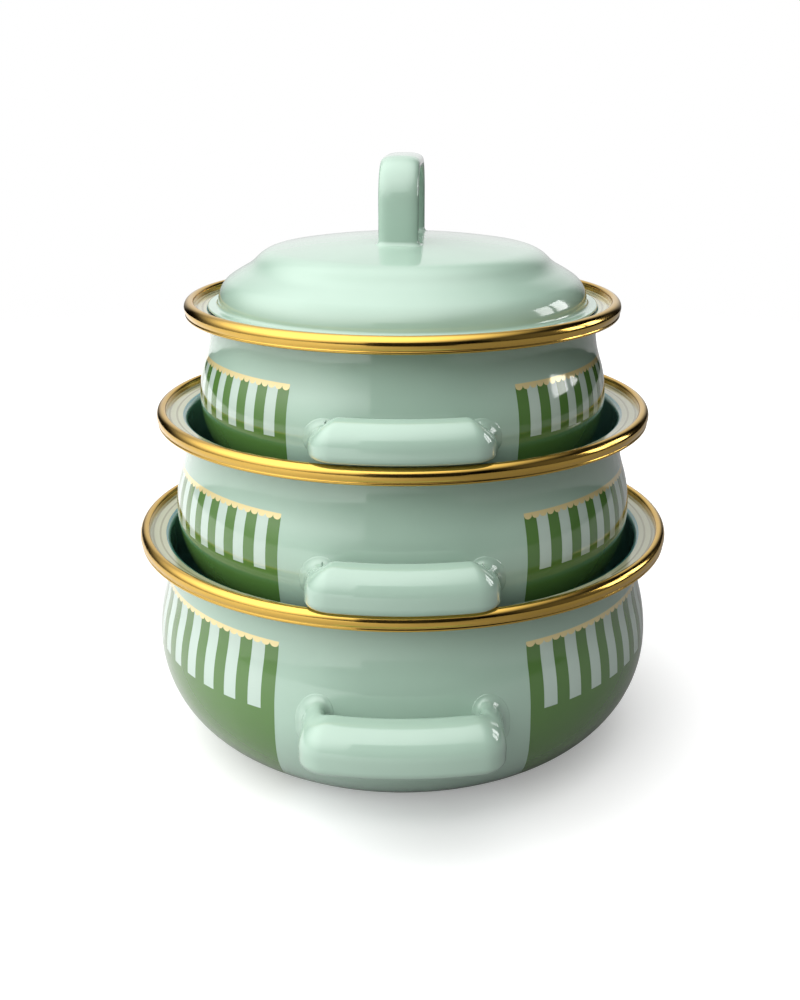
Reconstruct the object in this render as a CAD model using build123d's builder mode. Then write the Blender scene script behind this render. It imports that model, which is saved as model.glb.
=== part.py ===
"""Three enamelled steel casseroles stacked in one another, with a lid on the smallest.

Millimetres, +Z up. The origin is the middle of the large pot's base, on the table.
Every pot has a side handle towards -Y (front) and one towards +Y (back). A smaller pot hangs in
the next one by its two side handles, which here stop just short of the gold rim below.
"""

from build123d import *
from dataclasses import dataclass
from math import sqrt
import os

os.makedirs("parts", exist_ok=True)

# ---- driving dimensions ----------------------------------------------------------------------

WALL = 1.2  # pressed sheet steel with its enamel


@dataclass
class Pot:
    name: str
    base_z: float  # underside of the base in the stack
    height: float  # underside of the base to the middle of the rim
    rim_radius: float  # outside of the gold rim
    belly_radius: float
    belly_height: float
    neck_radius: float
    handle_width: float
    handle_height: float
    handle_bottom: float  # above the pot's own base
    handle_depth: float  # of the bar, outwards
    handle_gap: float  # belly to the back of the bar

    @property
    def rim_z(self):
        return self.base_z + self.height


# the gold rim, a rolled channel closed over the edge of the shell
RIM_DEPTH = 4.3
RIM_HEIGHT = 7.0
RIM_CORNER = 2.0
RIM_SHEET = 0.7

LARGE = Pot("large_pot", 0, 99, 121, 114.5, 48.9, 108.7, 80.6, 20.4, 43.0, 17.0, 10.5)
MEDIUM = Pot("medium_pot", 64.2, 89.7, 110.4, 103.8, 46.0, 98.0, 75.7, 18.7, 39.2, 14.5, 8.0)
SMALL = Pot("small_pot", 120.2, 80.5, 95.9, 90.8, 41.0, 85.3, 72.1, 16.6, 38.1, 14.0, 8.0)
POTS = [LARGE, MEDIUM, SMALL]

# the flange between the mouth and the rim
NECK_HEIGHT_SHARE = 0.91  # where the neck is narrowest, as a share of the pot's height
MOUTH_CORNER = 1.5  # bend radius under the flange
FLANGE_SLOPE = 6  # degrees, rising outwards
FLANGE_DROP = 0.6  # underside of the flange's edge below the middle of the rim
FLANGE_CLEARANCE = 0.2  # edge of the flange to the inside of the rim

# side handles, hollow bars bent into a D that follows the belly and is welded to it
HANDLE_EDGE = 5.5  # rounding of the bar's section
HANDLE_BEND = 12.5
HANDLE_SHEET = 1.5
ROOT_LENGTH = 12.0  # how far a bar starts inside the belly before it is cut to fit the wall

# lid
LID_RADIUS = 85.6
LID_FOOT_RADIUS = 81.0
LID_CROWN = 29.4
LID_FOOT_BEND = 1.5
# where the dome's arcs meet: edge of the crown, the step's two sides and the shoulder
LID_BENDS = [(55.5, 24.6), (64, 20.1), (69.6, 15.9), (75.8, 12.2)]
LID_SEAT_Z = SMALL.rim_z - 0.2

# lid handle, a strap bent into an arch
STRAP_WIDTH = 16.8
STRAP_THICKNESS = 6.6
STRAP_EDGE = 2.9
ARCH_SPAN = 55.0  # outside to outside
ARCH_TOP_Z = 264.2
ARCH_BEND = 14.0
ARCH_TURN = -3.9  # degrees about Z, as it was welded on


# ---- pots ------------------------------------------------------------------------------------


def draw_wall(pot):
    """Outer surface from the middle of the base up to the edge of the flange, about the axis."""
    base_radius = pot.belly_radius - pot.belly_height
    neck_z = pot.height * NECK_HEIGHT_SHARE
    middle = ((pot.belly_radius + pot.neck_radius) / 2, (pot.belly_height + neck_z) / 2)
    flange_edge = pot.rim_radius - RIM_SHEET - FLANGE_CLEARANCE

    Line((0, 0), (base_radius, 0))
    TangentArc((base_radius, 0), (pot.belly_radius, pot.belly_height), tangent=(1, 0))
    shoulder = TangentArc((pot.belly_radius, pot.belly_height), middle, tangent=(0, 1))
    TangentArc(middle, (pot.neck_radius, neck_z), tangent=shoulder % 1)

    # the bend is drawn at height 0 first, to find how far the flange rises
    with BuildLine(mode=Mode.PRIVATE) as trial:
        bend = JernArc((pot.neck_radius, 0), (0, 1), MOUTH_CORNER, FLANGE_SLOPE - 90)
        PolarLine(bend @ 1, flange_edge - (bend @ 1).X, FLANGE_SLOPE,
                  length_mode=LengthMode.HORIZONTAL)
    rise = (trial.line @ 1).Y
    bend_z = pot.height - FLANGE_DROP - rise

    Line((pot.neck_radius, neck_z), (pot.neck_radius, bend_z))
    bend = JernArc((pot.neck_radius, bend_z), (0, 1), MOUTH_CORNER, FLANGE_SLOPE - 90)
    PolarLine(bend @ 1, flange_edge - (bend @ 1).X, FLANGE_SLOPE,
              length_mode=LengthMode.HORIZONTAL)


def upright_plane(base_z):
    """Sketch plane through the axis, looking along +Y, with its height 0 at base_z."""
    return Plane(origin=(0, 0, base_z), x_dir=(1, 0, 0), z_dir=(0, -1, 0))


def make_shell(pot):
    with BuildPart() as shell:
        with BuildSketch(upright_plane(pot.base_z)):
            with BuildLine():
                draw_wall(pot)
                offset(amount=WALL, side=Side.LEFT)
            make_face()
        revolve(axis=Axis.Z)
    return shell.part


def make_filled(pot):
    """The pot's outside as one full solid up to the neck, to cut the handles against."""
    with BuildPart() as filled:
        with BuildSketch(upright_plane(pot.base_z)):
            with BuildLine() as outline:
                draw_wall(pot)
                edge = outline.line @ 1
                Polyline(edge, (0, edge.Y), (0, 0))
            make_face()
        revolve(axis=Axis.Z)
    return filled.part


def make_rim(pot, shell):
    with BuildPart() as rim:
        with BuildSketch(upright_plane(pot.base_z)):
            with Locations((pot.rim_radius - RIM_DEPTH / 2, pot.height)):
                RectangleRounded(RIM_DEPTH, RIM_HEIGHT, RIM_CORNER)
                RectangleRounded(RIM_DEPTH - 2 * RIM_SHEET, RIM_HEIGHT - 2 * RIM_SHEET,
                                 RIM_CORNER - RIM_SHEET, mode=Mode.SUBTRACT)
        revolve(axis=Axis.Z)
        add(shell, mode=Mode.SUBTRACT)
    return rim.part


def make_side_handle(pot, filled, side):
    """side is -1 for the front handle and +1 for the back one."""
    centre_z = pot.base_z + pot.handle_bottom + pot.handle_height / 2
    leg_x = (pot.handle_width - pot.handle_depth) / 2
    root_y = side * (pot.belly_radius - ROOT_LENGTH)
    bar_radius = pot.belly_radius + pot.handle_gap + pot.handle_depth / 2
    corner_y = side * sqrt(bar_radius**2 - leg_x**2)
    root = Plane(origin=(-leg_x, root_y, centre_z), x_dir=(side, 0, 0), z_dir=(0, side, 0))
    with BuildPart() as handle:
        with BuildLine(Plane.XY.offset(centre_z)) as path:
            Line((-leg_x, root_y), (-leg_x, corner_y))
            ThreePointArc((-leg_x, corner_y), (0, side * bar_radius), (leg_x, corner_y))
            Line((leg_x, corner_y), (leg_x, root_y))
            corners = [v for v in path.vertices() if abs(v.Y - corner_y) < 0.01]
            fillet(corners, radius=HANDLE_BEND)
        with BuildSketch(root):
            RectangleRounded(pot.handle_depth, pot.handle_height, HANDLE_EDGE)
            RectangleRounded(pot.handle_depth - 2 * HANDLE_SHEET,
                             pot.handle_height - 2 * HANDLE_SHEET,
                             HANDLE_EDGE - HANDLE_SHEET, mode=Mode.SUBTRACT)
        sweep(path=path.line)
        add(filled, mode=Mode.SUBTRACT)
    return handle.part


# ---- lid -------------------------------------------------------------------------------------


def draw_lid():
    """Outer surface of the lid from its crown down to the edge of the brim."""
    arc = TangentArc((0, LID_CROWN), LID_BENDS[0], tangent=(1, 0))
    for point in LID_BENDS[1:]:
        arc = TangentArc(arc @ 1, point, tangent=arc % 1)
    foot = TangentArc(arc @ 1, (LID_FOOT_RADIUS, WALL + LID_FOOT_BEND), tangent=arc % 1)
    bend = JernArc(foot @ 1, (0, -1), LID_FOOT_BEND, 90)
    Line(bend @ 1, (LID_RADIUS, WALL))


def make_lid_shell():
    with BuildPart() as lid:
        with BuildSketch(upright_plane(LID_SEAT_Z)):
            with BuildLine():
                draw_lid()
                offset(amount=WALL, side=Side.RIGHT)
            make_face()
        revolve(axis=Axis.Z)
    return lid.part


def make_lid_handle():
    leg = (ARCH_SPAN - STRAP_THICKNESS) / 2
    top = ARCH_TOP_Z - STRAP_THICKNESS / 2
    arch_plane = Plane.YZ.rotated((0, 0, ARCH_TURN))
    foot_plane = Plane(origin=arch_plane.from_local_coords((-leg, LID_SEAT_Z)),
                       x_dir=arch_plane.z_dir, z_dir=(0, 0, 1))
    with BuildPart() as filled:
        with BuildSketch(upright_plane(LID_SEAT_Z)):
            with BuildLine() as outline:
                draw_lid()
                edge = outline.line @ 1
                Polyline(edge, (edge.X, 0), (0, 0), (0, LID_CROWN))
            make_face()
        revolve(axis=Axis.Z)
    with BuildPart() as handle:
        with BuildLine(arch_plane) as path:
            FilletPolyline((-leg, LID_SEAT_Z), (-leg, top), (leg, top), (leg, LID_SEAT_Z),
                           radius=ARCH_BEND)
        with BuildSketch(foot_plane):
            RectangleRounded(STRAP_WIDTH, STRAP_THICKNESS, STRAP_EDGE)
        sweep(path=path.line)
        add(filled.part, mode=Mode.SUBTRACT)
    return handle.part


# ---- write every piece -----------------------------------------------------------------------


def write(piece, name):
    piece.label = name
    export_step(piece, f"parts/{name}.step")


for pot in POTS:
    pot_shell = make_shell(pot)
    pot_filled = make_filled(pot)
    write(pot_shell, f"{pot.name}_shell")
    write(make_rim(pot, pot_shell), f"{pot.name}_rim")
    write(make_side_handle(pot, pot_filled, -1), f"{pot.name}_front_handle")
    write(make_side_handle(pot, pot_filled, 1), f"{pot.name}_back_handle")

write(make_lid_shell(), "lid_shell")
write(make_lid_handle(), "lid_handle")
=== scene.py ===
"""Three stacked enamel casseroles with a lid, in a white studio. Metres, in the CAD frame."""
from math import atan2, cos, hypot, pi, radians, sin, sqrt

import bpy
from mathutils import Matrix, Vector


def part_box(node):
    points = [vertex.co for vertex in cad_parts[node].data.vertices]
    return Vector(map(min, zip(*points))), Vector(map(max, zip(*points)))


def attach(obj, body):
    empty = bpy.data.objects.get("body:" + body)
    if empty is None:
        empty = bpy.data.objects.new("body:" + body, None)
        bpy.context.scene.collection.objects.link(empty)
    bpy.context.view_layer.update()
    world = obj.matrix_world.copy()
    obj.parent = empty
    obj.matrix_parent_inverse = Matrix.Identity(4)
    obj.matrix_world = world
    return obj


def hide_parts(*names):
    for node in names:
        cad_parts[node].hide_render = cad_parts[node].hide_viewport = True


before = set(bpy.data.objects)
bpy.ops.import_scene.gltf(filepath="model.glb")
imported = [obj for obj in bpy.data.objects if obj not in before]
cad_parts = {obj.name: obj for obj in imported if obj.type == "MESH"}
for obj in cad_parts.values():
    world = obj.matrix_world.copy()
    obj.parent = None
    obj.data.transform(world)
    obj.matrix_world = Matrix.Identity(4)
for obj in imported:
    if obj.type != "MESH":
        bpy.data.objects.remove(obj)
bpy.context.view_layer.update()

MM = 0.001

# ---- sizes that the boxes of the CAD nodes don't give ----------------------------------------

WALL = 1.2 * MM
MOUTH_CORNER = 1.5 * MM
FLANGE_SLOPE = radians(6)
FLANGE_DROP = 0.6 * MM  # underside of the flange's edge below the middle of the rim
FLANGE_CLEARANCE = 0.2 * MM  # edge of the flange to the inside of the rim
NECK_SHARE = 0.91  # where the neck is narrowest, as a share of the pot's height
RIM_DEPTH = 4.3 * MM
RIM_SHEET = 0.7 * MM
HANDLE_GAP = {"large_pot": 10.5 * MM, "medium_pot": 8.0 * MM, "small_pot": 8.0 * MM}
# height of a handle's legs at the wall, as a share of the bar's height
LEG_HEIGHT_SHARE = {"large_pot": 0.84, "medium_pot": 0.62, "small_pot": 0.54}
LEG_WIDTH_SHARE = 0.122  # width of a leg to the handle's whole width
HANDLE_OUTER_BEND = 12 * MM
HANDLE_INNER_BEND = 6.5 * MM
HANDLE_FILLET = 3.0 * MM  # enamel that flows from the bar's root onto the wall
ROOT_OVERLAP = 0.4 * MM  # how far a root starts inside the wall under it
LID_FOOT_RADIUS = 81.0 * MM
LID_FOOT_BEND = 1.5 * MM
LID_BENDS = [(55.5 * MM, 24.6 * MM), (64 * MM, 20.1 * MM), (69.6 * MM, 15.9 * MM),
             (75.8 * MM, 12.2 * MM)]
STRAP_WIDTH = 16.8 * MM
STRAP_THICKNESS = 6.6 * MM
ARCH_BEND = 14.0 * MM
ARCH_SPAN = 55.0 * MM
ARCH_TURN = radians(-3.9)
ARCH_FILLET = 1.8 * MM
STRAP_POWER = 2.7  # of the superellipse that is the strap's section
LATHE_STEPS = 192


class Pot:
    """Sizes of one pot, read from its CAD nodes."""

    def __init__(self, name):
        self.name = name
        shell_low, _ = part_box(f"{name}_shell")
        rim_low, rim_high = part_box(f"{name}_rim")
        self.base_z = shell_low.z
        self.rim_radius = rim_high.x
        self.rim_bottom = rim_low.z
        self.rim_top = rim_high.z
        self.rim_z = (rim_low.z + rim_high.z) / 2
        self.height = self.rim_z - self.base_z
        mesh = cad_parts[f"{name}_shell"].data
        rings = [(hypot(v.co.x, v.co.y), v.co.z) for v in mesh.vertices if v.co.z < rim_low.z]
        self.belly_radius, belly_z = max(rings)
        self.belly_height = belly_z - self.base_z
        self.neck_radius = min(r for r, z in rings if z > belly_z) + WALL

    def wall_outline(self):
        """Outer surface from the middle of the base up to the edge of the flange: (r, height)."""
        base_radius = self.belly_radius - self.belly_height
        neck = (self.neck_radius, self.height * NECK_SHARE)
        middle = ((self.belly_radius + neck[0]) / 2, (self.belly_height + neck[1]) / 2)
        flange_edge = self.rim_radius - RIM_SHEET - FLANGE_CLEARANCE
        corner_run = MOUTH_CORNER * (1 - sin(FLANGE_SLOPE))
        corner_rise = MOUTH_CORNER * cos(FLANGE_SLOPE)
        flange_run = flange_edge - neck[0] - corner_run
        flange_rise = flange_run * sin(FLANGE_SLOPE) / cos(FLANGE_SLOPE)
        bend_z = self.height - FLANGE_DROP - flange_rise - corner_rise

        path = Outline((0, 0), (1, 0))
        path.line_to((base_radius, 0), 14)
        path.arc_to((self.belly_radius, self.belly_height), 30)
        path.arc_to(middle, 10)
        path.arc_to(neck, 10)
        path.line_to((neck[0], bend_z), 3)
        path.arc_to((neck[0] + corner_run, bend_z + corner_rise), 8)
        path.line_to((flange_edge, self.height - FLANGE_DROP), 6)
        return path.points

    def wall_radius(self, z):
        """Radius of the outer wall at a height in the CAD frame."""
        points = self.wall_outline()
        height = z - self.base_z
        for (r0, z0), (r1, z1) in zip(points, points[1:]):
            if z1 > z0 and z0 <= height <= z1:
                return r0 + (r1 - r0) * (height - z0) / (z1 - z0)
        return self.neck_radius


POTS = [Pot("large_pot"), Pot("medium_pot"), Pot("small_pot")]


# ---- outlines and meshes ---------------------------------------------------------------------


class Outline:
    """A flat line of points that goes on along straight runs and tangent arcs."""

    def __init__(self, start, direction):
        self.points = [start]
        self.direction = Vector(direction).normalized()

    def line_to(self, end, steps):
        start = Vector(self.points[-1])
        end = Vector(end)
        self.direction = (end - start).normalized()
        self.points += [tuple(start.lerp(end, i / steps)) for i in range(1, steps + 1)]

    def arc_to(self, end, steps):
        """The arc that leaves in the present direction and ends at the given point."""
        start = Vector(self.points[-1])
        chord = Vector(end) - start
        ahead = self.direction
        turn = atan2(ahead.x * chord.y - ahead.y * chord.x, ahead.dot(chord))
        radius = chord.length / 2 / sin(turn)
        centre = start + radius * Vector((-ahead.y, ahead.x))
        for i in range(1, steps + 1):
            arm = Matrix.Rotation(2 * turn * i / steps, 2) @ (start - centre)
            self.points.append(tuple(centre + arm))
        self.direction = Matrix.Rotation(2 * turn, 2) @ ahead


def inset(points, distance):
    """The same line moved to its left by a distance."""
    moved = []
    for i, (x, y) in enumerate(points):
        before = Vector(points[max(i - 1, 0)])
        after = Vector(points[min(i + 1, len(points) - 1)])
        ahead = (after - before).normalized()
        moved.append((x - ahead.y * distance, y + ahead.x * distance))
    return moved


def add_mesh(name, vertices, faces):
    mesh = bpy.data.meshes.new(name)
    mesh.from_pydata(vertices, [], faces)
    mesh.update()
    mesh.shade_smooth()
    piece = bpy.data.objects.new(name, mesh)
    bpy.context.scene.collection.objects.link(piece)
    return piece


def lathe(name, outline, base_z, closed=False):
    """Turns (r, height) points about the Z axis. A point on the axis becomes one vertex."""
    vertices = []
    rings = []
    for r, z in outline:
        if r < 1e-6:
            rings.append([len(vertices)] * LATHE_STEPS)
            vertices.append((0, 0, base_z + z))
            continue
        rings.append(list(range(len(vertices), len(vertices) + LATHE_STEPS)))
        for step in range(LATHE_STEPS):
            angle = 2 * pi * step / LATHE_STEPS
            vertices.append((r * cos(angle), r * sin(angle), base_z + z))
    faces = []
    pairs = list(zip(rings, rings[1:]))
    if closed:
        pairs.append((rings[-1], rings[0]))
    for low, high in pairs:
        for i in range(LATHE_STEPS):
            j = (i + 1) % LATHE_STEPS
            corners = [low[i], low[j], high[j], high[i]]
            corners = list(dict.fromkeys(corners))
            if len(corners) > 2:
                faces.append(corners)
    return add_mesh(name, vertices, faces)


def skin(name, rings):
    """Quads between rings that all have the same number of points."""
    count = len(rings[0])
    vertices = [point for ring in rings for point in ring]
    faces = []
    for k in range(len(rings) - 1):
        for i in range(count):
            j = (i + 1) % count
            a, b = k * count, (k + 1) * count
            faces.append([a + i, a + j, b + j, b + i])
    return add_mesh(name, vertices, faces)


def rounded_section(width, height, power, count):
    """Points of a superellipse and its outward directions: (across, up, out_across, out_up)."""
    points = []
    for i in range(count):
        t = 2 * pi * i / count
        c, s = cos(t), sin(t)
        across = width / 2 * abs(c) ** (2 / power) * (1 if c >= 0 else -1)
        up = height / 2 * abs(s) ** (2 / power) * (1 if s >= 0 else -1)
        out = Vector((abs(across / width) ** (power - 1) / width * (1 if c >= 0 else -1),
                      abs(up / height) ** (power - 1) / height * (1 if s >= 0 else -1)))
        out.normalize()
        points.append((across, up, out.x, out.y))
    return points


# ---- materials -------------------------------------------------------------------------------


class Nodes:
    """Short ways to add shader nodes to one material."""

    def __init__(self, name):
        self.material = bpy.data.materials.new(name)
        self.material.use_nodes = True
        self.tree = self.material.node_tree
        self.shader = self.tree.nodes["Principled BSDF"]
        self.place = self.tree.nodes.new("ShaderNodeTexCoord").outputs["Object"]

    def put(self, value, socket):
        if isinstance(value, bpy.types.NodeSocket):
            self.tree.links.new(value, socket)
        else:
            socket.default_value = value

    def math(self, operation, a, b=0.0):
        node = self.tree.nodes.new("ShaderNodeMath")
        node.operation = operation
        self.put(a, node.inputs[0])
        self.put(b, node.inputs[1])
        return node.outputs[0]

    def coordinates(self):
        """x, y and z of the shaded point, in the CAD frame at rest."""
        split = self.tree.nodes.new("ShaderNodeSeparateXYZ")
        self.put(self.place, split.inputs[0])
        return split.outputs

    def distance_from_axis(self, x, y):
        return self.math("SQRT", self.math("ADD", self.math("MULTIPLY", x, x),
                                           self.math("MULTIPLY", y, y)))

    def between(self, value, low, high):
        """1 where low < value < high, else 0."""
        above = self.math("GREATER_THAN", value, low)
        below = self.math("LESS_THAN", value, high)
        return self.math("MULTIPLY", above, below)

    def mix(self, factor, a, b):
        node = self.tree.nodes.new("ShaderNodeMix")
        node.data_type = "RGBA"
        self.put(factor, node.inputs["Factor"])
        self.put(a, node.inputs["A"])
        self.put(b, node.inputs["B"])
        return node.outputs["Result"]

    def noise(self, scale, detail):
        node = self.tree.nodes.new("ShaderNodeTexNoise")
        node.inputs["Scale"].default_value = scale
        node.inputs["Detail"].default_value = detail
        self.tree.links.new(self.place, node.inputs["Vector"])
        return node.outputs["Fac"]

    def spread(self, value, low, high):
        """Maps a value from 0.3..0.7, where noise mostly lies, to low..high."""
        node = self.tree.nodes.new("ShaderNodeMapRange")
        self.put(value, node.inputs["Value"])
        node.inputs["From Min"].default_value = 0.3
        node.inputs["From Max"].default_value = 0.7
        node.inputs["To Min"].default_value = low
        node.inputs["To Max"].default_value = high
        return node.outputs["Result"]

    def scaled(self, colour, factor):
        """A colour with its brightness multiplied by a value."""
        node = self.tree.nodes.new("ShaderNodeVectorMath")
        node.operation = "SCALE"
        self.put(colour if isinstance(colour, bpy.types.NodeSocket) else colour[:3],
                 node.inputs[0])
        self.put(factor, node.inputs["Scale"])
        return node.outputs["Vector"]

    def bump(self, height, distance, after=None):
        node = self.tree.nodes.new("ShaderNodeBump")
        node.inputs["Strength"].default_value = 1.0
        node.inputs["Distance"].default_value = distance
        self.put(height, node.inputs["Height"])
        if after is not None:
            self.put(after, node.inputs["Normal"])
        return node.outputs["Normal"]


MINT = (0.39, 0.545, 0.445)
STRIPE_MINT = (0.50, 0.62, 0.545)
GREEN = (0.09, 0.20, 0.045)
PRINT_GOLD = (0.86, 0.72, 0.36)
FLANGE_CREAM = (0.46, 0.47, 0.31)
# painted shade: the dark colour of the flange's two pressed rings
FLANGE_RING_SHADE = (0.20, 0.19, 0.10)
# partly the mouth's teal enamel and partly painted shade of the gap at the mouth
MOUTH_TEAL_AND_SHADE = (0.03, 0.22, 0.23)
# the inside's teal, darker than the mint: partly its own colour, partly painted shade inside the
# pot
INSIDE_TEAL_AND_SHADE = (0.20, 0.42, 0.38)
GOLD = (0.68, 0.43, 0.095)


ENAMEL_ROUGHNESS = 0.10
FLANGE_ROUGHNESS = 0.16
INSIDE_ROUGHNESS = 0.14


def finish_enamel(nodes, colour, roughness=ENAMEL_ROUGHNESS):
    """Glass over steel: fired gloss, a faint ripple and slightly uneven colour."""
    cloud = nodes.spread(nodes.noise(22, 3), 0.965, 1.035)
    nodes.put(nodes.scaled(colour, cloud), nodes.shader.inputs["Base Color"])
    uneven = nodes.spread(nodes.noise(60, 3), roughness * 0.7, roughness * 1.3)
    nodes.put(uneven, nodes.shader.inputs["Roughness"])
    ripple = nodes.bump(nodes.noise(38, 1), 0.25 * MM)
    peel = nodes.bump(nodes.noise(520, 2), 0.012 * MM, after=ripple)
    nodes.put(peel, nodes.shader.inputs["Normal"])
    nodes.shader.inputs["IOR"].default_value = 1.5
    nodes.shader.inputs["Coat Weight"].default_value = 0.6
    nodes.shader.inputs["Coat Roughness"].default_value = 0.03


def plain_enamel(name, colour, roughness=ENAMEL_ROUGHNESS):
    nodes = Nodes(name)
    finish_enamel(nodes, colour + (1,), roughness)
    return nodes.material


PANEL_LEAN = radians(6)  # of the print's upright edges, at the pot's base
SCALLOPS_PER_STRIPE_PAIR = 3
SCALLOP_DEPTH = 1.7 * MM
BORDER_WIDTH = 0.8 * MM  # gold above the scallops
PRINT_METALLIC = 0.2


def printed_enamel(name, pot, front_edge, stripes, top, stripe_bottom):
    """Mint enamel with the awning print on the left and right sides.

    front_edge is in radians from the front, stripes counts the pairs of a green and a mint
    stripe, and top and stripe_bottom are metres below the rim's middle."""
    nodes = Nodes(name)
    x, y, z = nodes.coordinates()
    side = nodes.math("ABSOLUTE", x)
    angle = nodes.math("ARCTAN2", side, nodes.math("MULTIPLY", y, -1.0))
    top_z = pot.rim_z - top
    stripe_z = pot.rim_z - stripe_bottom

    # pairs of stripes from the front edge of the panel to its back edge, with one more green one
    width = pi - 2 * front_edge
    count = stripes + 0.5
    along = nodes.math("MULTIPLY", nodes.math("SUBTRACT", angle, front_edge), count / width)
    is_mint = nodes.math("GREATER_THAN", nodes.math("FRACT", along), 0.5)
    is_mint = nodes.math("MULTIPLY", is_mint, nodes.math("GREATER_THAN", z, stripe_z))

    # the panel's upright edges lean outwards a little under the belly
    below = nodes.math("DIVIDE", nodes.math("SUBTRACT", stripe_z, z), stripe_z - pot.base_z)
    below = nodes.math("MAXIMUM", below, 0.0)
    lean = nodes.math("MULTIPLY", nodes.math("POWER", below, 2.0), PANEL_LEAN)
    low_edge = nodes.math("ADD", lean, front_edge)
    high_edge = nodes.math("SUBTRACT", pi, low_edge)
    in_panel = nodes.between(angle, low_edge, high_edge)
    in_panel = nodes.math("MULTIPLY", in_panel, nodes.math("LESS_THAN", z, top_z))

    # gold border: a straight upper edge and a lower edge of half-round scallops
    phase = nodes.math("FRACT", nodes.math("MULTIPLY", along, SCALLOPS_PER_STRIPE_PAIR))
    across = nodes.math("SUBTRACT", nodes.math("MULTIPLY", phase, 2.0), 1.0)
    arch = nodes.math("SUBTRACT", 1.0, nodes.math("MULTIPLY", across, across))
    arch = nodes.math("SQRT", nodes.math("MAXIMUM", arch, 0.0))
    border = nodes.math("ADD", nodes.math("MULTIPLY", arch, SCALLOP_DEPTH), BORDER_WIDTH)
    is_gold = nodes.math("GREATER_THAN", z, nodes.math("SUBTRACT", top_z, border))
    is_gold = nodes.math("MULTIPLY", is_gold, in_panel)

    colour = nodes.mix(is_mint, GREEN + (1,), STRIPE_MINT + (1,))
    colour = nodes.mix(in_panel, MINT + (1,), colour)
    colour = nodes.mix(is_gold, colour, PRINT_GOLD + (1,))
    finish_enamel(nodes, colour)
    nodes.put(nodes.math("MULTIPLY", is_gold, PRINT_METALLIC), nodes.shader.inputs["Metallic"])
    return nodes.material


RING_FROM_RIM = 1.4 * MM
RING_WIDTH = 0.9 * MM
RING_DARKNESS = 0.7
MOUTH_LINE_WIDTH = 2.0 * MM


def flange_enamel(name, pot):
    """Cream enamel with a dark teal line at the mouth, partly its edge colour and partly painted
    shade of the gap there, and two darker rings of painted shade for pressed grooves.
    """
    nodes = Nodes(name)
    x, y, _ = nodes.coordinates()
    radius = nodes.distance_from_axis(x, y)
    mouth = pot.neck_radius - WALL
    rim_edge = pot.rim_radius - RIM_DEPTH
    middle = (mouth + rim_edge) / 2
    colour = FLANGE_CREAM + (1,)
    # paints shade in two rings where the flange has pressed grooves that the mesh doesn't model
    for ring in (middle, rim_edge - RING_FROM_RIM):
        in_ring = nodes.between(radius, ring - RING_WIDTH / 2, ring + RING_WIDTH / 2)
        shade = nodes.math("MULTIPLY", in_ring, RING_DARKNESS)
        colour = nodes.mix(shade, colour, FLANGE_RING_SHADE + (1,))
    # the teal line at the mouth is partly painted shade of the gap there
    in_line = nodes.math("LESS_THAN", radius, mouth + MOUTH_LINE_WIDTH)
    colour = nodes.mix(in_line, colour, MOUTH_TEAL_AND_SHADE + (1,))
    finish_enamel(nodes, colour, FLANGE_ROUGHNESS)
    return nodes.material


def gold_metal(name):
    """Rolled brass trim, polished, with faint draw marks that run round it."""
    nodes = Nodes(name)
    x, y, z = nodes.coordinates()
    radius = nodes.distance_from_axis(x, y)
    join = nodes.tree.nodes.new("ShaderNodeCombineXYZ")
    nodes.put(radius, join.inputs[0])
    nodes.put(z, join.inputs[1])
    marks = nodes.tree.nodes.new("ShaderNodeTexNoise")
    nodes.put(join.outputs[0], marks.inputs["Vector"])
    marks.inputs["Scale"].default_value = 2600
    marks.inputs["Detail"].default_value = 1.0
    tone = nodes.spread(nodes.noise(30, 3), 0.94, 1.06)
    nodes.put(nodes.scaled(GOLD + (1,), tone), nodes.shader.inputs["Base Color"])
    nodes.put(nodes.spread(nodes.noise(45, 3), 0.10, 0.20), nodes.shader.inputs["Roughness"])
    ripple = nodes.bump(nodes.noise(55, 1), 0.1 * MM)
    drawn = nodes.bump(marks.outputs["Fac"], 0.006 * MM, after=ripple)
    nodes.put(drawn, nodes.shader.inputs["Normal"])
    nodes.shader.inputs["Metallic"].default_value = 1.0
    return nodes.material


def set_materials(piece, *materials):
    piece.data.materials.clear()
    for material in materials:
        piece.data.materials.append(material)


# ---- pots ------------------------------------------------------------------------------------


FLANGE, INSIDE = 1, 2  # material indices of a pot's shell, where 0 is the outside


def make_shell(pot, outside_material, flange_material, inside_material):
    """The pot's wall. Its flange and its inside have enamel colours of their own; the inside's
    darker teal is partly painted shade, and the flange's mouth line and rings are painted shade.
    """
    outer = pot.wall_outline()
    inner = inset(outer, WALL)
    inner[0] = (0, inner[0][1])
    outline = outer + inner[::-1]
    piece = lathe(f"{pot.name}_enamel_shell", outline, pot.base_z)
    set_materials(piece, outside_material, flange_material, inside_material)
    mouth_edge = pot.neck_radius - WALL + 0.9 * MM  # where the bend at the mouth turns cream
    flange_low = pot.rim_z - 4 * MM
    for face in piece.data.polygons:
        r = hypot(face.center.x, face.center.y)
        inwards = face.normal.xy.dot(face.center.xy) < 0
        if r > mouth_edge and face.center.z > flange_low and face.normal.z > 0.35:
            face.material_index = FLANGE
        elif inwards or face.normal.z > 0.999:
            face.material_index = INSIDE
    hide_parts(f"{pot.name}_shell")
    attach(piece, pot.name)


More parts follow.
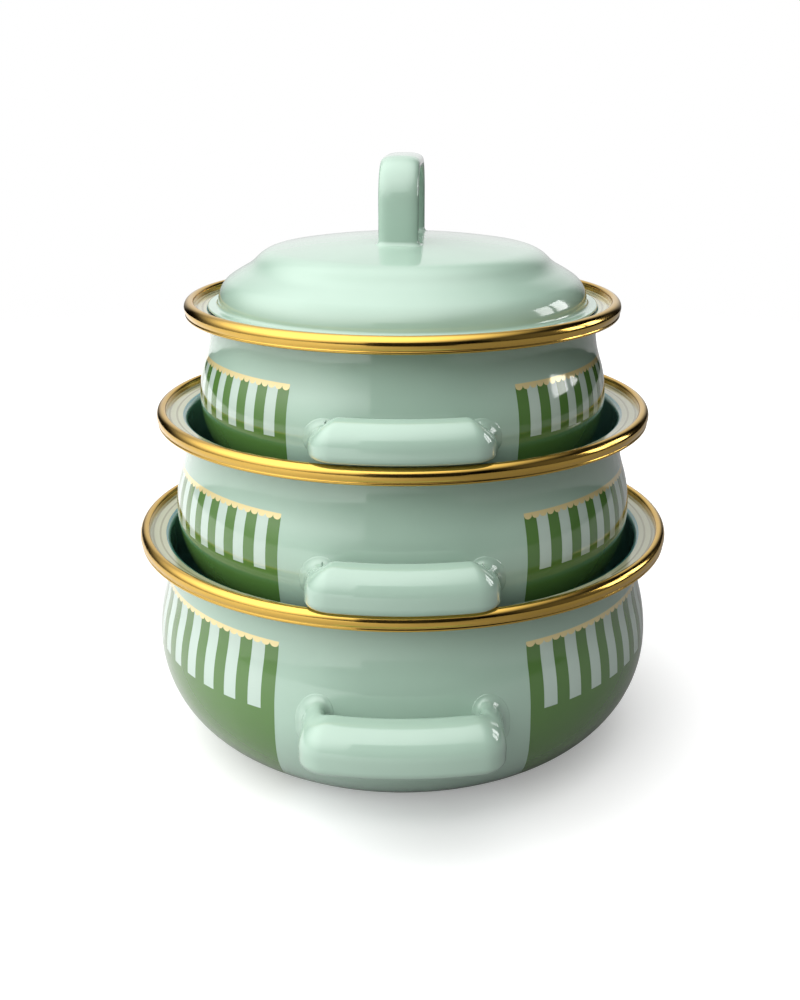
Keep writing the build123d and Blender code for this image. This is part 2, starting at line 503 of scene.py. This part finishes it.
def make_rim(pot, material):
    """Rolled bead that leans in towards its top, with a narrow lip along its lower edge."""
    outer = pot.rim_radius
    half = (pot.rim_top - pot.rim_bottom) / 2
    inner = outer - RIM_DEPTH
    bead_corner = 1.5 * MM
    foot_corner = 1.0 * MM
    slot_top, slot_bottom = 0.4 * MM, -1.8 * MM  # the flange enters the rim between these

    # up the inside and over the bead
    path = Outline((inner, slot_top), (0, 1))
    path.line_to((inner, half - bead_corner), 4)
    path.arc_to((inner + bead_corner, half), 10)
    path.arc_to((outer - 0.25 * MM, -half + 1.7 * MM), 26)
    path.line_to((outer - 0.22 * MM, -half + 1.35 * MM), 2)

    # round the lip, under the rim and back up to the flange
    path.direction = Vector((0.6, -0.8))
    path.arc_to((outer - 0.1 * MM, -half + 0.5 * MM), 8)
    path.direction = Vector((-0.6, -0.8))
    path.arc_to((outer - 1.2 * MM, -half), 5)
    path.line_to((inner + foot_corner, -half), 3)
    path.arc_to((inner, -half + foot_corner), 6)
    path.line_to((inner, slot_bottom), 3)

    # the arcs bulge a little, so the depth is brought back to the rim's own
    widest = max(r for r, _ in path.points)
    outline = [(inner + (r - inner) * RIM_DEPTH / (widest - inner), z) for r, z in path.points]
    piece = lathe(f"{pot.name}_gold_rim", outline, pot.rim_z, closed=True)
    set_materials(piece, material)
    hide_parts(f"{pot.name}_rim")
    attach(piece, pot.name)


def bar_section(depth, height):
    """Outline of the bar: a broad rounded top towards the front, a small edge below it.

    Points are (share of the depth from the back, share of the height from the bottom)."""
    front_edge, back_top, back_edge = 4.2 * MM, 4.6 * MM, 4.0 * MM  # radii of the small corners
    broad_x, broad_z = depth * 0.70, height * 0.60
    corners = [  # centre of the corner, its two half axes, first angle, points
        (depth - front_edge, front_edge, front_edge, front_edge, -90, 10),
        (depth - broad_x, height - broad_z, broad_x, broad_z, 0, 22),
        (back_top, height - back_top, back_top, back_top, 90, 10),
        (back_edge, back_edge, back_edge, back_edge, 180, 10),
    ]
    points = []
    for x, z, half_x, half_z, first, steps in corners:
        for step in range(steps):
            angle = radians(first + 90 * step / (steps - 1))
            points.append(((x + half_x * cos(angle)) / depth, (z + half_z * sin(angle)) / height))
    return points


def fillet_rings(outline, steps, radius, surface):
    """Rings that widen in a quarter circle from an outline down onto a surface.

    The outline has (across, along, out_across, out_along) for each point, and surface makes a
    point from (across, along, lift). The first ring is inside the surface, the last is the
    outline itself."""
    rings = []
    for step in range(-1, steps + 1):
        turn = max(step, 0) / steps * pi / 2
        out = radius * (1 - sin(turn))
        lift = radius * (1 - cos(turn)) if step >= 0 else -ROOT_OVERLAP
        rings.append([surface(across + out_across * out, along + out_along * out, lift)
                      for across, along, out_across, out_along in outline])
    return rings


def smooth(t):
    """Rises from 0 to 1 as t does, with level ends."""
    return t * t * (3 - 2 * t)


def make_side_handle(pot, face, side, material):
    """Bar in a D round the belly. Its legs are slimmer, and end on the wall in a fillet."""
    node = f"{pot.name}_{face}_handle"
    low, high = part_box(node)
    front = max(abs(low.y), abs(high.y))
    back = pot.belly_radius + HANDLE_GAP[pot.name]
    depth = front - back
    height = high.z - low.z
    section = bar_section(depth, height)
    outer_x = high.x
    leg_width = (high.x - low.x) * LEG_WIDTH_SHARE
    inner_x = outer_x - leg_width
    leg_share = LEG_HEIGHT_SHARE[pot.name]

    def bend_centre(line_x, bend, circle):
        return line_x - bend, sqrt((circle - bend) ** 2 - (line_x - bend) ** 2)

    outer_bend = bend_centre(outer_x, HANDLE_OUTER_BEND, front)
    inner_bend = bend_centre(inner_x, HANDLE_INNER_BEND, back)

    def on_bend(centre, bend, share):
        angle = atan2(centre[1], centre[0]) * share
        return Vector((centre[0] + bend * cos(angle), centre[1] + bend * sin(angle)))

    def on_bar(centre, circle, share):
        first = atan2(centre[1], centre[0])
        angle = first + (pi / 2 - first) * share
        return Vector((circle * cos(angle), circle * sin(angle)))

    def ring_between(inner, outer, growth):
        """growth is 0 at a leg's slim end and 1 along the bar."""
        tall = height * (leg_share + (1 - leg_share) * growth)
        ring = []
        for across, up in section:
            spot = inner.lerp(outer, across)
            ring.append((spot.x, spot.y, low.z + up * tall))
        return ring

    def on_wall(x, z, lift):
        return x, sqrt(pot.wall_radius(z) ** 2 - x * x) + lift, z

    # the root: the leg's outline laid on the wall
    leg = [(inner_x + leg_width * across, low.z + up * height * leg_share)
           for across, up in section]
    outline = []
    for i, (x, z) in enumerate(leg):
        before = Vector(leg[i - 2])
        after = Vector(leg[(i + 2) % len(leg)])
        along = (after - before).normalized()
        outline.append((x, z, along.y, -along.x))
    half = fillet_rings(outline, 9, HANDLE_FILLET, on_wall)

    # the leg, the bend and half of the bar
    root = half[-1]
    outer_start = on_bend(outer_bend, HANDLE_OUTER_BEND, 0)
    inner_start = on_bend(inner_bend, HANDLE_INNER_BEND, 0)
    leg_steps, bend_steps, bar_steps = 5, 14, 10
    bend_growth = 0.25  # part of the growth that is reached where the bend starts
    for step in range(1, leg_steps + 1):
        share = step / leg_steps
        target = ring_between(inner_start, outer_start, smooth(share) * bend_growth)
        half.append([(x, y + (target[i][1] - y) * share, target[i][2])
                     for i, (x, y, _) in enumerate(root)])
    for step in range(1, bend_steps + 1):
        share = step / bend_steps
        growth = bend_growth + (1 - bend_growth) * smooth(share)
        half.append(ring_between(on_bend(inner_bend, HANDLE_INNER_BEND, share),
                                 on_bend(outer_bend, HANDLE_OUTER_BEND, share), growth))
    for step in range(1, bar_steps + 1):
        share = step / bar_steps
        half.append(ring_between(on_bar(inner_bend, back, share),
                                 on_bar(outer_bend, front, share), 1))
    other = [[(-x, y, z) for x, y, z in ring] for ring in reversed(half[:-1])]
    rings = [[(x, side * y, z) for x, y, z in ring] for ring in half + other]
    piece = skin(f"{pot.name}_{face}_bar", rings)
    set_materials(piece, material)
    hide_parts(node)
    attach(piece, pot.name)


# ---- lid -------------------------------------------------------------------------------------


def lid_outline():
    """Outer surface from the middle of the crown down to the edge of the brim: (r, height)."""
    low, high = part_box("lid_shell")
    path = Outline((0, high.z - low.z), (1, 0))
    path.arc_to(LID_BENDS[0], 24)
    for point in LID_BENDS[1:]:
        path.arc_to(point, 8)
    path.arc_to((LID_FOOT_RADIUS, WALL + LID_FOOT_BEND), 14)
    path.direction = Vector((0, -1))
    path.arc_to((LID_FOOT_RADIUS + LID_FOOT_BEND, WALL), 6)
    path.line_to((high.x, WALL), 4)
    return path.points


def make_lid_shell(material):
    low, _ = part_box("lid_shell")
    outer = lid_outline()
    inner = inset(outer, -WALL)
    inner[0] = (0, inner[0][1])
    edge = outer[-1][0]
    roll_steps = 8
    roll = [(edge + WALL / 2 * sin(t) - WALL / 2, WALL / 2 + WALL / 2 * cos(t))
            for t in [pi * k / roll_steps for k in range(1, roll_steps)]]
    outer[-1] = (edge - WALL / 2, WALL)
    inner[-1] = (edge - WALL / 2, 0)
    piece = lathe("lid_enamel_dome", outer + roll + inner[::-1], low.z)
    set_materials(piece, material)
    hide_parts("lid_shell")
    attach(piece, "lid")


def make_lid_handle(material):
    """Strap bent into an arch over the crown, with fillets at its feet."""
    _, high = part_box("lid_handle")
    seat_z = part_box("lid_shell")[0].z
    outline = lid_outline()

    def dome_z(r):
        for (r0, z0), (r1, z1) in zip(outline, outline[1:]):
            if r0 <= r <= r1:
                return seat_z + z0 + (z1 - z0) * (r - r0) / (r1 - r0)
        return seat_z

    leg = (ARCH_SPAN - STRAP_THICKNESS) / 2
    bend_z = high.z - STRAP_THICKNESS / 2 - ARCH_BEND
    section = rounded_section(STRAP_THICKNESS, STRAP_WIDTH, STRAP_POWER, 64)

    def on_dome(across, along, lift):
        y = leg + across
        return along, y, dome_z(hypot(along, y)) + lift

    half = fillet_rings(section, 6, ARCH_FILLET, on_dome)
    root = half[-1]
    leg_steps = 4
    for step in range(1, leg_steps + 1):
        half.append([(x, y, z + (bend_z - z) * step / leg_steps) for x, y, z in root])
    bend_steps = 20
    for step in range(1, bend_steps + 1):
        turn = step / bend_steps * pi / 2
        ring = []
        for across, along, _, _ in section:
            reach = ARCH_BEND + across
            ring.append((along, leg - ARCH_BEND + reach * cos(turn), bend_z + reach * sin(turn)))
        half.append(ring)
    other = [[(x, -y, z) for x, y, z in ring] for ring in reversed(half)]
    turn = Matrix.Rotation(ARCH_TURN, 3, "Z")
    rings = [[tuple(turn @ Vector(point)) for point in ring] for ring in half + other]
    piece = skin("lid_enamel_arch", rings)
    set_materials(piece, material)
    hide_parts("lid_handle")
    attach(piece, "lid")


# ---- all pieces ------------------------------------------------------------------------------

mint = plain_enamel("mint_enamel", MINT)
# the inside's darker teal is partly painted shade
inside_and_shade = plain_enamel("inside_enamel", INSIDE_TEAL_AND_SHADE, INSIDE_ROUGHNESS)
gold = gold_metal("gold_trim")

# front edge of the print, pairs of stripes to a side, and how far below the rim's middle the
# print's top and the stripes' lower ends are
PRINTS = {
    "large_pot": (radians(27.0), 18, 18.2 * MM, 47.3 * MM),
    "medium_pot": (radians(28.7), 18, 22.0 * MM, 45.6 * MM),
    "small_pot": (radians(30.5), 16, 19.4 * MM, 40.7 * MM),
}

for pot in POTS:
    print_material = printed_enamel(f"{pot.name}_print", pot, *PRINTS[pot.name])
    make_shell(pot, print_material, flange_enamel(f"{pot.name}_flange", pot), inside_and_shade)
    make_rim(pot, gold)
    make_side_handle(pot, "front", -1, mint)
    make_side_handle(pot, "back", 1, mint)
make_lid_shell(mint)
make_lid_handle(mint)


# ---- studio ----------------------------------------------------------------------------------


def add_light(name, place, target, size_x, size_y, watts):
    light = bpy.data.lights.new(name, "AREA")
    light.shape = "RECTANGLE"
    light.size = size_x
    light.size_y = size_y
    light.energy = watts
    lamp = bpy.data.objects.new(name, light)
    lamp.location = place
    aim = Vector(target) - Vector(place)
    lamp.rotation_euler = aim.to_track_quat("-Z", "Y").to_euler()
    bpy.context.scene.collection.objects.link(lamp)
    return lamp


def add_square(name, reach, z):
    corners = [(-reach, -reach, z), (reach, -reach, z), (reach, reach, z), (-reach, reach, z)]
    return add_mesh(name, corners, [[0, 1, 2, 3]])


FLOOR_REACH = 1.2
FLOOR_GLOW = 0.27  # keeps the floor nearly as white as the backdrop


def make_floor():
    """White table top that fades into the white backdrop. Only the camera sees it."""
    floor = add_square("floor", FLOOR_REACH, 0)
    nodes = Nodes("floor_paper")
    tone = nodes.spread(nodes.noise(3, 2), 0.995, 1.0)
    nodes.put(nodes.scaled((0.86, 0.86, 0.86, 1), tone), nodes.shader.inputs["Base Color"])
    nodes.shader.inputs["Roughness"].default_value = 0.8
    nodes.shader.inputs["Specular IOR Level"].default_value = 0.1
    distance = nodes.tree.nodes.new("ShaderNodeVectorMath")
    distance.operation = "LENGTH"
    nodes.put(nodes.place, distance.inputs[0])
    fade = nodes.tree.nodes.new("ShaderNodeMapRange")
    fade.interpolation_type = "SMOOTHSTEP"
    nodes.put(distance.outputs["Value"], fade.inputs["Value"])
    fade.inputs["From Min"].default_value = 0.70
    fade.inputs["From Max"].default_value = 1.15
    fade.inputs["To Min"].default_value = 1.0
    fade.inputs["To Max"].default_value = 0.0
    nodes.put(fade.outputs["Result"], nodes.shader.inputs["Alpha"])
    nodes.shader.inputs["Emission Color"].default_value = (1, 1, 1, 1)
    nodes.shader.inputs["Emission Strength"].default_value = FLOOR_GLOW
    set_materials(floor, nodes.material)
    floor.visible_diffuse = False
    floor.visible_glossy = False
    floor.visible_shadow = False


def make_table():
    """What the pots see under them: a grey table that gets darker towards the right."""
    table = add_square("table", FLOOR_REACH, -0.3 * MM)
    nodes = Nodes("table_card")
    x, _, _ = nodes.coordinates()
    grey = nodes.tree.nodes.new("ShaderNodeMapRange")
    grey.interpolation_type = "SMOOTHSTEP"
    nodes.put(x, grey.inputs["Value"])
    grey.inputs["From Min"].default_value = -0.35
    grey.inputs["From Max"].default_value = 0.20
    grey.inputs["To Min"].default_value = 0.85
    grey.inputs["To Max"].default_value = 0.22
    nodes.put(nodes.scaled((1, 1, 1, 1), grey.outputs["Result"]),
              nodes.shader.inputs["Base Color"])
    nodes.shader.inputs["Roughness"].default_value = 0.9
    set_materials(table, nodes.material)
    table.visible_camera = False


def make_flag(name, left, right, y, top):
    """Upright black card behind the lens, seen only in reflections."""
    corners = [(left, y, 0), (right, y, 0), (right, y, top), (left, y, top)]
    flag = add_mesh(name, corners, [[0, 1, 2, 3]])
    nodes = Nodes(f"{name}_card")
    nodes.put(nodes.scaled((0.01, 0.01, 0.01, 1), nodes.spread(nodes.noise(40, 2), 0.8, 1.2)),
              nodes.shader.inputs["Base Color"])
    nodes.shader.inputs["Roughness"].default_value = 0.9
    set_materials(flag, nodes.material)
    flag.visible_camera = False
    flag.visible_diffuse = False
    flag.visible_shadow = False


def make_world():
    """Dark room with broad soft lights: a strong one above, weaker ones left, right and behind.

    The camera sees a white backdrop instead."""
    world = bpy.data.worlds.new("studio")
    bpy.context.scene.world = world
    world.use_nodes = True
    tree = world.node_tree
    room = tree.nodes["Background"]
    place = tree.nodes.new("ShaderNodeTexCoord")

    def lobe(towards, first, last, strength):
        """Light that grows smoothly with the cosine of the angle to a direction."""
        aim = tree.nodes.new("ShaderNodeVectorMath")
        aim.operation = "DOT_PRODUCT"
        tree.links.new(place.outputs["Generated"], aim.inputs[0])
        aim.inputs[1].default_value = Vector(towards).normalized()
        grow = tree.nodes.new("ShaderNodeMapRange")
        grow.interpolation_type = "SMOOTHSTEP"
        tree.links.new(aim.outputs["Value"], grow.inputs["Value"])
        grow.inputs["From Min"].default_value = first
        grow.inputs["From Max"].default_value = last
        grow.inputs["To Min"].default_value = 0.0
        grow.inputs["To Max"].default_value = strength
        return grow.outputs["Result"]

    lights = [
        lobe((-0.40, -0.22, 0.90), 0.28, 0.97, 2.45),
        lobe((-0.92, -0.20, 0.15), 0.60, 0.98, 0.45),
        lobe((0.90, -0.30, 0.25), 0.85, 0.99, 0.12),
        lobe((0, 1, 0.34), 0.80, 0.98, 0.9),
    ]
    total = lights[0]
    for light in lights[1:]:
        add = tree.nodes.new("ShaderNodeMath")
        add.operation = "ADD"
        tree.links.new(total, add.inputs[0])
        tree.links.new(light, add.inputs[1])
        total = add.outputs[0]
    tree.links.new(total, room.inputs["Strength"])
    room.inputs["Color"].default_value = (1, 1, 1, 1)
    backdrop = tree.nodes.new("ShaderNodeBackground")
    backdrop.inputs["Color"].default_value = (1, 1, 1, 1)
    backdrop.inputs["Strength"].default_value = 1.0
    path = tree.nodes.new("ShaderNodeLightPath")
    mix = tree.nodes.new("ShaderNodeMixShader")
    tree.links.new(path.outputs["Is Camera Ray"], mix.inputs["Fac"])
    tree.links.new(room.outputs[0], mix.inputs[1])
    tree.links.new(backdrop.outputs[0], mix.inputs[2])
    tree.links.new(mix.outputs[0], tree.nodes["World Output"].inputs["Surface"])


CAMERA_DISTANCE = 0.5483  # in front of the pots' axis
CAMERA_RISE = 0.1973  # above the large pot's rim
CAMERA_TILT = radians(19)  # below the horizon


def make_camera():
    camera = bpy.data.cameras.new("camera")
    camera.sensor_width = 36
    camera.lens = 44.53
    camera.shift_x = -0.0025
    camera.clip_start = 0.01
    holder = bpy.data.objects.new("camera", camera)
    holder.location = (0, -CAMERA_DISTANCE, POTS[0].rim_z + CAMERA_RISE)
    holder.rotation_euler = (pi / 2 - CAMERA_TILT, 0, 0)
    bpy.context.scene.collection.objects.link(holder)
    bpy.context.scene.camera = holder


make_floor()
make_table()
make_flag("front_flag", -0.19, 0.30, -0.64, 0.46)
make_world()
make_camera()
softbox = add_light("key_softbox", (-0.70, -0.85, 0.80), (0, 0, 0.13), 0.60, 0.60, 0.9)
softbox.visible_glossy = False
for name, place in (("window_near", (1.16, 0.10, 0.47)), ("window_far", (1.08, 0.42, 0.47))):
    window = add_light(name, place, (0, 0, 0.15), 0.26, 0.42, 1.6)
    window.visible_diffuse = False
bpy.context.scene.view_settings.view_transform = "Standard"
